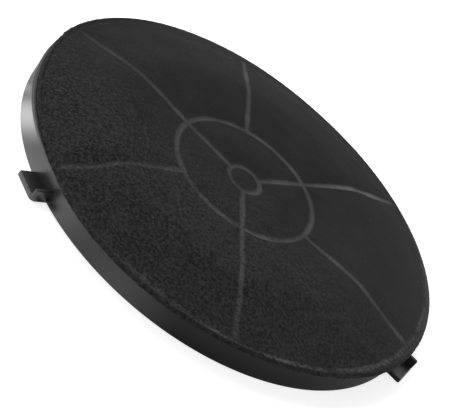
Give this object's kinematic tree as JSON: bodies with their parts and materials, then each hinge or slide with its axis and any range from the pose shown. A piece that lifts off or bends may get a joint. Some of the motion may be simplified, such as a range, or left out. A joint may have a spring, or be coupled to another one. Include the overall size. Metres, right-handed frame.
{
  "type": "cooker hood carbon filter",
  "caption": "Flat round carbon filter disc for a cooker hood: black felt face welded over walled cells of carbon, in a moulded rim with bayonet lugs and a back grille.",
  "frame": {"origin": "centre of the back face, on the disc's axis", "axes": "+Z along the disc's axis, from the back grille to the felt face; +X through one short cell wall and its lug"},
  "size_m": [0.2395, 0.2332, 0.02],
  "materials": {
    "moulding": "black injection moulding, semi-gloss",
    "face_felt": "black non-woven felt, dull, pressed in and slightly lighter along the weld lines",
    "back_fleece": "thin black non-woven fleece, dull",
    "carbon": "black carbon granules, dull"
  },
  "bodies": {
    "root": {"frame": "moulding", "front_felt": "face_felt", "back_fleece_outer_1": "back_fleece", "back_fleece_outer_2": "back_fleece", "back_fleece_outer_3": "back_fleece", "back_fleece_outer_4": "back_fleece", "back_fleece_outer_5": "back_fleece", "back_fleece_outer_6": "back_fleece", "back_fleece_inner_1": "back_fleece", "back_fleece_inner_2": "back_fleece", "back_fleece_inner_3": "back_fleece", "carbon_outer_1": "carbon", "carbon_outer_2": "carbon", "carbon_outer_3": "carbon", "carbon_outer_4": "carbon", "carbon_outer_5": "carbon", "carbon_outer_6": "carbon", "carbon_inner_1": "carbon", "carbon_inner_2": "carbon", "carbon_inner_3": "carbon", "carbon_hub": "carbon"}
  },
  "joints": []
}
